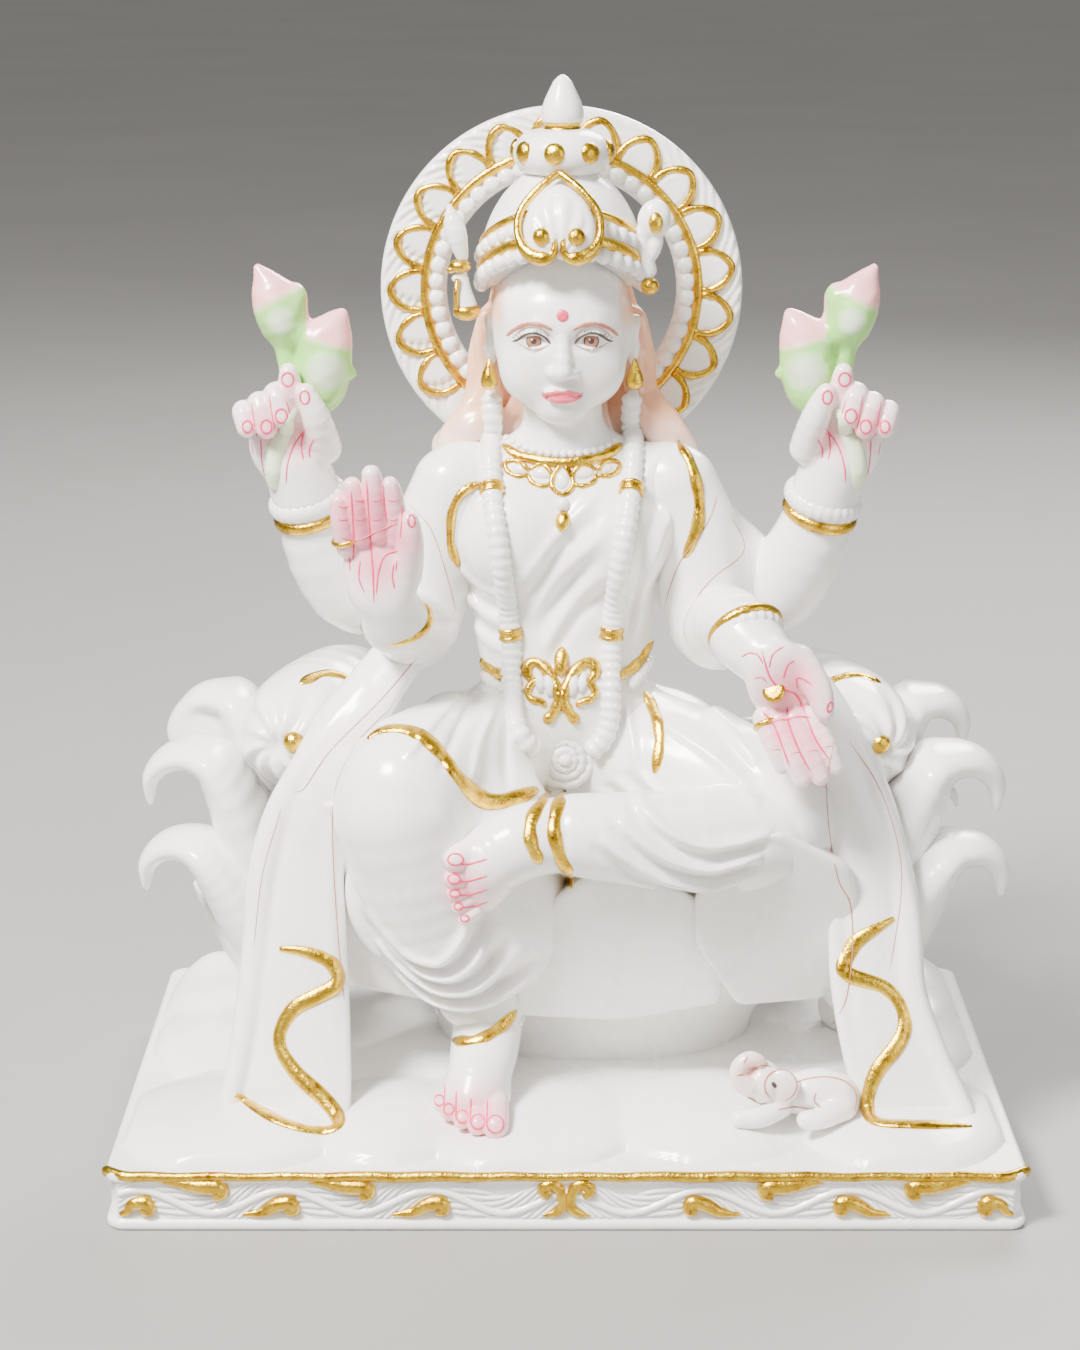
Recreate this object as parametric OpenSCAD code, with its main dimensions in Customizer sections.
// Seated four-armed goddess on a lotus throne, a hand-painted marble shrine figure.
// Millimetres. The origin is the middle of the plinth's underside, +Z is up and the figure
// looks along -Y. Left and right are the figure's own, so its right hand side is at -X.

/* [Plinth] */
// Width of the plinth
plinth_w = 252; // [246:1:262]
// Depth of the plinth
plinth_d = 160; // [158:1:180]
// Height of the plinth
plinth_h = 17; // [14:1:17]
// Radius of the plinth's upright corners
plinth_corner_r = 5; // [2:1:8]
// How far the carved front band lies behind the plinth's rims
band_inset = 1.2; // [0.6:0.2:2]

/* [Halo] */
// Outside radius of the halo
halo_r = 52; // [48:1:54]
// Radius of the opening in the halo
halo_hole_r = 33; // [31:0.5:34]
// Thickness of the halo
halo_t = 7; // [5:0.5:8]

/* [Crown] */
// Height of the pointed finial above its gilded neck
finial_h = 13; // [10:0.5:13]
// Radius of the finial at its widest
finial_r = 6; // [4:0.5:7]

/* [Throne] */
// Radius of the two side bolsters
bolster_r = 18; // [16:0.5:19]

/* [Jewellery] */
// Thickness of the wrist bangles and anklets
bangle_t = 2.6; // [1.6:0.2:3]
// Radius of the coin on the open palm
coin_r = 2.8; // [2:0.1:3.2]

/* [Hidden] */

marble = [0.95, 0.95, 0.93];
gilt = [0.83, 0.62, 0.16];
bud_green = [0.75, 0.9, 0.6];
peach = [0.97, 0.83, 0.74];
big = 400;

crown_z = 250;          // the head is cut level here and the crown stands on the cut
collar_z = 276;
finial_z = 305 - finial_h;
halo_c = [-1, 30, 243];

// Joints of the skeleton
shoulder = [33, 6, 190];
elbow_front = [42, 1, 152];
wrist_right = [-47, -33, 160];
wrist_left = [49, -29, 156];
elbow_rear = [59, 12, 158];
wrist_rear = [73, 1, 187];
knee_right = [-44, -40, 112];
ankle_right = [-25, -31, 42];
knee_left = [56, -20, 102];
ankle_left = [-2, -46, 103];

function flip(p) = [-p[0], p[1], p[2]];
function flip_all(list) = [for (p = list) flip(p)];

// Small lumps need fewer facets than big ones
function facets(r) = r < 5 ? 8 : r < 9 ? 10 : 12;

// A ball, as a hull so that every limb becomes one mesh
module ball(p, r) hull() translate(p) sphere(r = r, $fn = facets(r));

// A rounded lump with three half-sizes
module egg(p, s) hull() translate(p) scale(s) sphere(r = 1, $fn = facets(max(s)));

// Balls joined in a row
module limb(points, radii)
    for (i = [0 : len(points) - 2]) hull() {
        ball(points[i], radii[i]);
        ball(points[i + 1], radii[i + 1]);
    }

// Lumps joined in a row, for petals and falls of cloth
module band(points, sizes)
    for (i = [0 : len(points) - 2]) hull() {
        egg(points[i], sizes[i]);
        egg(points[i + 1], sizes[i + 1]);
    }

// Puts a shape drawn along +Z at p, pointing towards q
module along(p, q) {
    d = q - p;
    translate(p) rotate([0, acos(d[2] / norm(d)), atan2(d[1], d[0])]) children();
}

module ring_at(p, q, r, t) along(p, q) rotate_extrude() translate([r, 0]) circle(r = t / 2, $fn = 24);

// ---------------------------------------------------------------- plinth and ground
module rounded_plan(w, d, r) {
    square([w - 2 * r, d], center = true);
    square([w, d - 2 * r], center = true);
    for (x = [-1, 1], y = [-1, 1]) translate([x * (w / 2 - r), y * (d / 2 - r)]) circle(r = r, $fn = 48);
}

module plinth() color(marble) {
    rim_low = 3;
    rim_high = 3;
    linear_extrude(rim_low) rounded_plan(plinth_w, plinth_d, plinth_corner_r);
    translate([0, 0, rim_low]) linear_extrude(plinth_h - rim_low - rim_high)
        rounded_plan(plinth_w - 2 * band_inset, plinth_d - 2 * band_inset, plinth_corner_r - band_inset / 2);
    translate([0, 0, plinth_h - rim_high]) linear_extrude(rim_high)
        rounded_plan(plinth_w, plinth_d, plinth_corner_r);
}

// Soft lobes of ground: centre and half-sizes of each
ground_lobes = [
    [[-88, -41, 17], [36, 36, 6]],
    [[-50, -45, 17], [22, 26, 5]],
    [[-10, -40, 17], [42, 38, 6]],
    [[42, -40, 17], [34, 34, 6]],
    [[94, -42, 17], [29, 34, 6]],
    [[-60, 20, 17], [62, 52, 6]],
    [[50, 20, 17], [72, 54, 6]],
    [[-96, 50, 17], [26, 26, 9]],
    [[98, 48, 17], [25, 28, 9]]
];
module ground_form() difference() {
    for (l = ground_lobes) egg(l[0], l[1]);
    translate([-big / 2, -big / 2, plinth_h - big]) cube(big);
}
module ground_mound() color(marble) difference() {
    ground_form();
    lotus_core_form();
}

// ---------------------------------------------------------------- lotus throne
core_x = 9;
module core_slice(z, a, b) translate([core_x, 14, z]) scale([a, b, 1]) cylinder(r = 1, h = 2, $fn = 32);
module lotus_core_form() {
    hull() {
        core_slice(18, 50, 34);
        core_slice(30, 58, 36);
    }
    hull() {
        core_slice(30, 58, 36);
        core_slice(46, 69, 38);
    }
    hull() {
        core_slice(46, 69, 38);
        core_slice(88, 66, 38);
    }
}
module lotus_core() color(marble) lotus_core_form();

// Corners of each broad front petal, from its tip round to its foot
front_petals = [
    [[-52, -26, 80], [-64, -12, 72], [-40, -32, 68], [-58, -14, 49], [-42, -26, 48]],
    [[15, -46, 87], [-10, -40, 66], [38, -44, 67], [-9, -34, 49], [38, -37, 50]],
    [[58, -42, 93], [40, -44, 70], [77, -27, 74], [43, -37, 51], [73, -28, 51]]
];
module front_petal_form(i) {
    c = front_petals[i];
    hull() {
        ball(c[0], 3);
        for (k = [1 : 4]) ball(c[k], 4.5);
        for (k = [1 : 4]) ball(c[k] + [0, 10, 0], 4);
        egg((c[1] + c[2] + c[3] + c[4]) / 4 + [0, -3, 2], [8, 5, 12]);
    }
}
module front_petal(i) color(marble) difference() {
    front_petal_form(i);
    lotus_core_form();
    if (i != 1) front_petal_form(1);
    petal_right_lower_form();
    petal_left_lower_form();
    right_leg_form();
    left_leg_form();
    left_foot_form();
}
module front_petal_right() front_petal(0);
module front_petal_middle() front_petal(1);
module front_petal_left() front_petal(2);

// Side petals rise from the throne, spread and curl over at the tip
upper_r = [[-70, -2, 46], [-80, -4, 76], [-89, -5, 100], [-101, -5, 113], [-111, -5, 112], [-117, -5, 105]];
lower_r = [[-70, -8, 44], [-80, -8, 62], [-89, -9, 80], [-100, -10, 90], [-111, -10, 90], [-117, -10, 84]];
rear_r = [[-66, 20, 62], [-80, 24, 92], [-92, 25, 112], [-104, 25, 117], [-112, 25, 113]];
outer_r = [[-70, 12, 40], [-86, 12, 58], [-98, 12, 78]];
upper_l = [[84, -2, 46], [91, -4, 76], [96, -5, 98], [106, -5, 112], [116, -5, 111], [122, -5, 102]];
lower_l = [[84, -8, 44], [94, -8, 62], [101, -9, 78], [111, -10, 87], [119, -10, 84], [123, -10, 76]];
rear_l = [[78, 20, 62], [90, 24, 94], [99, 25, 113], [110, 25, 118], [118, 25, 113]];
outer_l = [[84, 12, 40], [98, 12, 58], [107, 12, 74]];
inner_l = [[92, 10, 72], [102, 10, 88], [108, 10, 93], [112, 10, 89]];
side_sizes = [[9, 15, 8], [9, 18, 9], [9, 18, 9], [6, 15, 6], [4.5, 11, 4.5], [3, 6, 3]];
rear_sizes = [[8, 13, 8], [9, 17, 9], [9, 18, 9], [7, 15, 7], [4, 9, 5]];
outer_sizes = [[6, 10, 6], [6, 12, 6], [2.5, 7, 3]];
inner_sizes = [[4, 7, 5], [4, 7, 5], [3.5, 6, 3.5], [2, 4, 2.5]];

module petal_right_upper_form() band(upper_r, side_sizes);
module petal_left_upper_form() band(upper_l, side_sizes);
module petal_right_lower_form() band(lower_r, side_sizes);
module petal_left_lower_form() band(lower_l, side_sizes);
module throne_cuts() {
    lotus_core_form();
    bolster_form(-1);
    bolster_form(1);
}
module petal_right_upper() color(marble) difference() {
    petal_right_upper_form();
    throne_cuts();
    shawl_right_form();
}
module petal_left_upper() color(marble) difference() {
    petal_left_upper_form();
    throne_cuts();
    shawl_left_form();
}
module petal_right_lower() color(marble) difference() {
    petal_right_lower_form();
    throne_cuts();
    petal_right_upper_form();
    shawl_right_form();
}
module petal_left_lower() color(marble) difference() {
    petal_left_lower_form();
    throne_cuts();
    petal_left_upper_form();
    shawl_left_form();
}
module petal_right_rear() color(marble) difference() {
    band(rear_r, rear_sizes);
    throne_cuts();
    petal_right_upper_form();
    petal_right_lower_form();
}
module petal_left_rear() color(marble) difference() {
    band(rear_l, rear_sizes);
    throne_cuts();
    petal_left_upper_form();
    petal_left_lower_form();
}
module petal_right_outer() color(marble) difference() {
    band(outer_r, outer_sizes);
    throne_cuts();
    petal_right_upper_form();
    petal_right_lower_form();
    band(rear_r, rear_sizes);
}
module petal_left_outer() color(marble) difference() {
    band(outer_l, outer_sizes);
    throne_cuts();
    petal_left_upper_form();
    petal_left_lower_form();
    band(rear_l, rear_sizes);
}
module petal_left_inner() color(marble) difference() {
    band(inner_l, inner_sizes);
    throne_cuts();
    petal_left_upper_form();
    petal_left_lower_form();
    band(rear_l, rear_sizes);
    band(outer_l, outer_sizes);
}
back_petal_x = [-44, 8, 60];
module back_petal_form(i) band(
    [for (p = [[0, 50, 44], [0, 58, 72], [0, 64, 92], [0, 70, 98], [0, 75, 93]]) p + [back_petal_x[i], 0, 0]],
    [[19, 7, 8], [26, 7, 9], [24, 6, 8], [16, 4, 5], [7, 3, 4]]
);
module back_petal(i) color(marble) difference() {
    back_petal_form(i);
    throne_cuts();
    if (i != 1) back_petal_form(1);
    band(rear_r, rear_sizes);
    band(rear_l, rear_sizes);
}
module back_petal_right() back_petal(0);
module back_petal_middle() back_petal(1);
module back_petal_left() back_petal(2);

// ---------------------------------------------------------------- bolsters
function bolster_front(side) = side < 0 ? [-78, -6, 119] : [89, -6, 118];
function bolster_rear(side) = side < 0 ? [-60, 42, 118] : [68, 42, 118];
bolster_edge = 5;
module bolster_form(side) along(bolster_front(side), bolster_rear(side)) {
    length = norm(bolster_rear(side) - bolster_front(side));
    rotate_extrude($fn = 32) polygon(concat(
        [[0, -4]],
        [for (a = [0 : 18 : 90]) [bolster_r - bolster_edge + bolster_edge * sin(a), bolster_edge * (1 - cos(a)) - 1]],
        [for (a = [90 : 18 : 180]) [bolster_r - bolster_edge + bolster_edge * sin(a), length - bolster_edge * (1 + cos(a))]],
        [[0, length]]
    ));
}
module bolster(side) color(marble) difference() {
    bolster_form(side);
    lotus_core_form();
    hips_form();
    if (side < 0) shawl_right_form();
    else shawl_left_form();
}
module bolster_right() bolster(-1);
module bolster_left() bolster(1);
button_r = 3;
module button(side) color(gilt) difference() {
    along(bolster_front(side), bolster_rear(side)) translate([0, 0, -5]) sphere(r = button_r, $fn = 32);
    along(bolster_front(side), bolster_rear(side)) translate([0, 0, -4]) cylinder(r = 2 * button_r, h = big / 10);
}
module bolster_button_right() button(-1);
module bolster_button_left() button(1);

// ---------------------------------------------------------------- seated body
module hips_form() {
    band([[-20, 14, 108], [2, 15, 113], [32, 14, 107]], [[21, 21, 17], [26, 20, 21], [24, 21, 17]]);
    egg([4, 16, 98], [50, 28, 13]);
}
module hips() color(marble) difference() {
    hips_form();
    lotus_core_form();
    torso_form();
    right_leg_form();
    left_leg_form();
}
module right_leg_form() limb(
    [[-14, 4, 114], knee_right, [-40, -39, 84], [-32, -35, 60], ankle_right],
    [19, 20, 17, 13, 9.5]
);
module right_leg() color(marble) difference() {
    right_leg_form();
    left_foot_form();
    left_leg_form();
    lotus_core_form();
}
module left_leg_form() limb(
    [[16, 4, 112], knee_left, [54, -24, 96], [26, -40, 97], ankle_left],
    [20, 20, 18, 15, 9.5]
);
module left_leg() color(marble) difference() {
    left_leg_form();
    left_foot_form();
    lotus_core_form();
}
function toes(from, to, n) = [for (i = [0 : n - 1]) from + (to - from) * i / (n - 1)];
right_toes = toes([-34, -54, 23], [-17, -58, 23.5], 5);
module right_foot() color(marble) difference() {
    union() {
        limb([ankle_right + [0, 1, -2], [-24, -38, 31], [-26, -50, 25]], [9, 9, 7]);
        ball([-23.5, -25, 28], 7.5);
        for (i = [0 : 4]) ball(right_toes[i], 2.6 + 0.3 * i);
        hull() {
            ball(right_toes[0] + [2, 6, 1], 3);
            ball(right_toes[4] + [-1, 6, 1], 4);
        }
    }
    right_leg_form();
    ground_form();
    lotus_core_form();
}
left_toes = toes([-24, -56, 85], [-30, -57, 97], 5);
module left_foot_form() {
    limb([ankle_left + [-2, -1, 0], [-15, -53, 101], [-23, -55, 95]], [8.5, 8.5, 7]);
    for (i = [0 : 4]) ball(left_toes[i], 2.4 + 0.25 * i);
}
module left_foot() color(marble) left_foot_form();
module anklets() color(gilt) {
    ring_at([-25.7, -31.4, 44], [-32, -35, 60], 11.4, bangle_t);
    ring_at([2, -45, 102.5], [26, -40, 97], 11.9, bangle_t);
}

module torso_form() {
    band(
        [[0, 5, 120], [0, 6, 138], [0, 5, 156], [0, 5, 176], [0, 8, 195]],
        [[28, 20, 12], [24.5, 17, 10], [27, 17, 10], [34, 18, 12], [30, 13, 10]]
    );
    for (x = [-18, 17]) egg([x, -6, 174], [13, 12, 13]);
    limb([[-28, 8, 193], [28, 8, 193]], [11, 11]);
}
module torso() color(marble) difference() {
    torso_form();
    neck_form();
    right_leg_form();
    left_leg_form();
    for (s = [0, 1]) {
        front_arm_form(s);
        rear_arm_form(s);
    }
}
// The front arms and then the rear ones, 0 for the right side and 1 for the left
module front_arm_form(s) limb(
    [s ? shoulder : flip(shoulder), s ? elbow_front : flip(elbow_front), s ? wrist_left : wrist_right],
    [12, 12, 8.5]
);
module rear_arm_form(s) {
    path = [[37, 14, 180], elbow_rear, [68, 6, 172], wrist_rear];
    limb(s ? path : flip_all(path), [10, 12, 11, 8.8]);
}
module front_arm(s) color(marble) difference() {
    front_arm_form(s);
    if (s) shawl_left_form();
    else shawl_right_form();
}
module rear_arm(s) color(marble) difference() {
    rear_arm_form(s);
    front_arm_form(s);
    if (s) shawl_left_form();
    else shawl_right_form();
}
module right_front_arm() front_arm(0);
module left_front_arm() front_arm(1);
module right_rear_arm() rear_arm(0);
module left_rear_arm() rear_arm(1);

// ---------------------------------------------------------------- hands
// Raised palm: fingers as [root, tip] from the index to the little finger, then the thumb
raised_fingers = [
    [[-43, -42, 186], [-46, -45, 203]], [[-48, -43, 188], [-53, -46, 208]],
    [[-54, -43, 186], [-58, -45, 205]], [[-58, -42, 182], [-62, -44, 198]]
];
module right_front_hand() color(marble) difference() {
    union() {
        hull() {
            ball(wrist_right + [0, -4, 3], 8);
            ball([-45, -41, 182], 5);
            ball([-57, -41, 179], 4.5);
        }
        for (f = raised_fingers) limb(f, [3.4, 2.8]);
        limb([[-43, -42, 170], [-41, -45, 180], [-42, -47, 190]], [4.5, 3.8, 3]);
    }
    front_arm_form(0);
}
// Giving palm: fingers point down
giving_fingers = [
    [[66, -42, 138], [69, -47, 124]], [[61, -43, 136], [65, -49, 120]],
    [[56, -43, 136], [60, -48, 121]], [[52, -42, 138], [55, -46, 126]]
];
module left_front_hand() color(marble) difference() {
    union() {
        hull() {
            ball(wrist_left + [1, -4, -2], 8);
            ball([65, -41, 141], 4.5);
            ball([53, -41, 140], 4.5);
        }
        for (f = giving_fingers) limb(f, [3.4, 2.8]);
        limb([[61, -38, 150], [67, -42, 143], [69, -45, 136]], [4.5, 3.8, 3]);
    }
    front_arm_form(1);
    coin_form();
}
coin_at = [55.5, -46, 142];
module coin_form() along(coin_at, coin_at + [-0.1, -1, 0.35]) cylinder(r = coin_r, h = 3.2, $fn = 32);
module coin() color(gilt) coin_form();

// Closed hands, drawn for the left side
fist_fingers = [[[66, -3, 216], [69, -9, 207]], [[73, -3, 216], [74, -9, 205]],
    [[80, -3, 214], [79, -8, 204]], [[86, -2, 212], [84, -7, 204]]];
module fist_form(s) {
    p = [[74, 0, 191], [70, -2, 212], [84, -1, 209]];
    hull() for (i = [0 : 2]) ball(s ? p[i] : flip(p[i]), [9, 6, 5.5][i]);
    for (f = fist_fingers) hull() for (q = f) ball(s ? q : flip(q), 3.6);
    thumb = [[66, -4, 206], [65, -7, 216], [68, -9, 225]];
    limb(s ? thumb : flip_all(thumb), [4.5, 3.8, 3.2]);
}
module fist(s) color(marble) difference() {
    fist_form(s);
    rear_arm_form(s);
}
module right_rear_hand() fist(0);
module left_rear_hand() fist(1);
// A broad bud and a small pointed one on a bent neck
module buds_form(s) {
    broad = [[65, -5, 224], [62, -5, 232], [60, -5, 243]];
    small = [[68, -6, 230], [74, -6, 238], [76, -6, 247], [80, -6, 255]];
    limb(s ? broad : flip_all(broad), [6, 8.5, 4]);
    limb(s ? small : flip_all(small), [3.5, 4.5, 5.5, 1.6]);
}
module lotus_buds(s) color(bud_green) difference() {
    buds_form(s);
    fist_form(s);
}
module lotus_buds_right() lotus_buds(0);
module lotus_buds_left() lotus_buds(1);
module bangles() color(gilt) {
    ring_at(wrist_right + [0, 2, -1], [-47, -60, 169], 10.4, bangle_t);
    ring_at(wrist_left + [0, 1, 0], [52, -60, 157], 10.2, bangle_t);
    for (s = [-1, 1]) ring_at([s * 72.6, 1.5, 184], [s * 75.5, -1.5, 197], 10.7, bangle_t);
}

// ---------------------------------------------------------------- head and crown
module neck_form() limb([[0, 9, 199], [-0.5, 8, 206], [-1, 7, 214]], [11, 10.5, 10]);
module head_form() {
    neck_form();
    egg([-1, 7, 236], [18.5, 19.5, 24]);
    egg([-1, 1, 222], [14, 15, 12]);
    egg([-1, 8, 246], [20, 20, 14]);
    for (s = [-1, 1]) egg([-1 + s * 19, 9, 231], [2.5, 4, 7]);
}
module level_cut(z) translate([-big / 2, -big / 2, z]) cube(big);
module head() color(marble) difference() {
    head_form();
    level_cut(crown_z);
}
hair_lock = [[-19, 12, 240], [-22, 15, 224], [-27, 17, 210], [-33, 16, 201]];
module hair() color(peach) difference() {
    union() {
        limb(hair_lock, [6, 6, 7, 6]);
        limb(flip_all(hair_lock), [6, 6, 7, 6]);
        egg([-1, 21, 228], [20, 12, 27]);
        egg([0, 21, 200], [27, 11, 22]);
    }
    level_cut(crown_z);
    head_form();
    torso_form();
    halo_form();
    front_arm_form(0);
    front_arm_form(1);
    rear_arm_form(0);
    rear_arm_form(1);
}
module earrings() color(gilt) for (x = [-21.5, 19.5]) translate([x, 3, 221]) {
    sphere(r = 2.2, $fn = 24);
    cylinder(r1 = 2, r2 = 0.5, h = 5, $fn = 24);
}

crown_axis = [-1, 8, 0];
crown_flat = 0.83;      // the crown is a little shallower than it is wide
module crown_cap() color(marble) translate(crown_axis + [0, 0, crown_z]) scale([1, crown_flat, 1])
    rotate_extrude($fn = 48) polygon([
        [0, 0], [22.5, 0], [24, 4], [24, 10], [22, 16], [18.5, 21], [14, collar_z - crown_z],
        [0, collar_z - crown_z]
    ]);
module crown_collar() color(marble) translate(crown_axis + [0, 0, collar_z]) rotate_extrude($fn = 48) polygon([
    [0, 0], [13, 0], [15, 3], [15, 6], [12.5, 9.5], [8, 11.5], [0, 11.5]
]);
neck_r = 5;
module crown_finial() color(marble) translate(crown_axis) {
    translate([0, 0, collar_z + 11.5]) cylinder(r = neck_r, h = finial_z - collar_z - 11.5 + 0.5, $fn = 32);
    translate([0, 0, finial_z]) rotate_extrude($fn = 32) polygon([
        [0, 0], [finial_r - 1.5, 0], [finial_r, 2], [finial_r * 0.93, 4], [finial_r * 0.55, 8.2], [1.1, finial_h - 0.8],
        [0, finial_h]
    ]);
}
module crown_plaque() color(gilt) difference() {
    translate([-1, -11, 254]) rotate([80, 0, 0]) linear_extrude(4) hull() {
        translate([0, 24]) circle(r = 0.8, $fn = 16);
        for (x = [-7.5, 7.5]) translate([x, 7]) circle(r = 5.5, $fn = 24);
        translate([0, 2]) circle(r = 2, $fn = 16);
    }
    crown_cap();
}
module crown_tassel() color(marble) difference() {
    union() {
        limb([[-32, 0, 267], [-30, 0, 260], [-28.5, 0, 252]], [1.6, 3.6, 2.6]);
        egg([-29, -1, 250.5], [4.2, 3.6, 2.4]);
        limb([[-28.5, -1, 248], [-28, -2, 240], [-28, -2, 238]], [2.4, 3.8, 4]);
    }
    crown_cap();
    hair();
}
module crown_flower() color(marble) difference() {
    union() {
        egg([26, 1, 262], [5, 4, 5.5]);
        limb([[25, 0, 256], [24.5, -1, 251], [25, -2, 247]], [3.2, 2.6, 2.4]);
        egg([26, -2, 244], [3, 3, 3]);
        ball([24, 0, 258], 3.5);
        ball([22.5, 1, 252], 3);
    }
    crown_cap();
    hair();
}

module halo_form() translate(halo_c) rotate([-90, 0, 0]) translate([0, 0, -halo_t / 2]) difference() {
    cylinder(r = halo_r, h = halo_t, $fn = 96);
    translate([0, 0, -1]) cylinder(r = halo_hole_r, h = halo_t + 2, $fn = 96);
}
module halo() color(marble) halo_form();

// ---------------------------------------------------------------- ornaments and shawl
strand = [[-19, 2, 207], [-19, -12, 196], [-17, -18, 176], [-14.5, -16, 158], [-13, -14, 140], [-9, -20, 124],
    [-1, -27, 117]];
module garland() color(marble) difference() {
    union() {
        limb(strand, [for (p = strand) 2]);
        limb(flip_all(strand), [for (p = strand) 2]);
        egg([-1, -28, 117], [6, 4, 6]);
    }
    torso_form();
    head_form();
    hair();
    hips_form();
    front_arm_form(0);
    front_arm_form(1);
    right_leg_form();
    left_leg_form();
}
necklace_arc = [[-16, -7, 203], [-8, -11, 199], [0, -13, 198], [8, -11, 199], [15, -7, 203]];
module necklace() color(gilt) difference() {
    union() {
        limb(necklace_arc, [for (p = necklace_arc) 1.6]);
        hull() {
            egg([0, -14, 193], [11, 3, 4]);
            ball([0, -15, 190], 2);
        }
        limb([[0, -15, 188], [0, -16, 184]], [1.6, 2.2]);
        egg([0, -13, 196], [4, 2, 3]);
    }
    torso_form();
    neck_form();
    garland();
}
module belt_buckle() color(gilt) difference() {
    union() {
        egg([0, -13, 137], [9, 5, 9]);
        egg([0, -13, 130], [6, 5, 5]);
    }
    torso_form();
    garland();
    hips_form();
}
fall_right = [[-43, 2, 146], [-56, -8, 143], [-68, -15, 130], [-74, -22, 105], [-74, -29, 76], [-75, -37, 48],
    [-78, -43, 26]];
fall_left = [[47, 2, 146], [62, -6, 141], [78, -13, 128], [86, -21, 104], [88, -29, 76], [91, -38, 48],
    [97, -44, 26]];
fall_sizes = [[12, 9, 10], [13, 8, 10], [13, 7, 10], [12, 7, 10], [13, 6.5, 10], [15, 6.5, 8], [17, 6, 4]];
module shawl_right_form() band(fall_right, fall_sizes);
module shawl_left_form() band(fall_left, fall_sizes);
module shawl_right() color(marble) difference() {
    shawl_right_form();
    ground_form();
    right_leg_form();
    front_petal_form(0);
    button(-1);
}
module shawl_left() color(marble) difference() {
    shawl_left_form();
    ground_form();
    left_leg_form();
    left_front_hand();
    front_petal_form(2);
    button(1);
}

// Little elephant lying down with its trunk raised
module elephant() color(marble) difference() {
    union() {
        limb([[60, -52, 29], [68.5, -51.3, 28.6], [77, -51.6, 28.2]], [7, 7.6, 7.3]);
        ball([57.7, -55.2, 34.3], 7.7);
        limb([[52, -57, 31], [49.2, -56.3, 37], [52.6, -54.4, 41.7], [56, -53, 43]], [4.8, 3.6, 2.9, 2.4]);
        limb([[64, -58, 26], [56.4, -60.3, 24.6], [50, -60, 24.2]], [3.7, 3.3, 3.1]);
        limb([[78, -56, 27], [72.3, -60.2, 24.4], [66.4, -61.1, 24.1]], [4.9, 3.4, 3]);
    }
    ground_form();
}

plinth();
ground_mound();
lotus_core();
front_petal_right();
front_petal_middle();
front_petal_left();
petal_right_upper();
petal_right_lower();
petal_right_rear();
petal_right_outer();
petal_left_upper();
petal_left_lower();
petal_left_rear();
petal_left_outer();
petal_left_inner();
back_petal_right();
back_petal_middle();
back_petal_left();
bolster_right();
bolster_left();
bolster_button_right();
bolster_button_left();
hips();
right_leg();
left_leg();
right_foot();
left_foot();
anklets();
torso();
head();
hair();
earrings();
crown_cap();
crown_collar();
crown_finial();
crown_plaque();
crown_tassel();
crown_flower();
halo();
right_front_arm();
left_front_arm();
right_rear_arm();
left_rear_arm();
right_front_hand();
left_front_hand();
right_rear_hand();
left_rear_hand();
lotus_buds_right();
lotus_buds_left();
bangles();
coin();
garland();
necklace();
belt_buckle();
shawl_right();
shawl_left();
elephant();
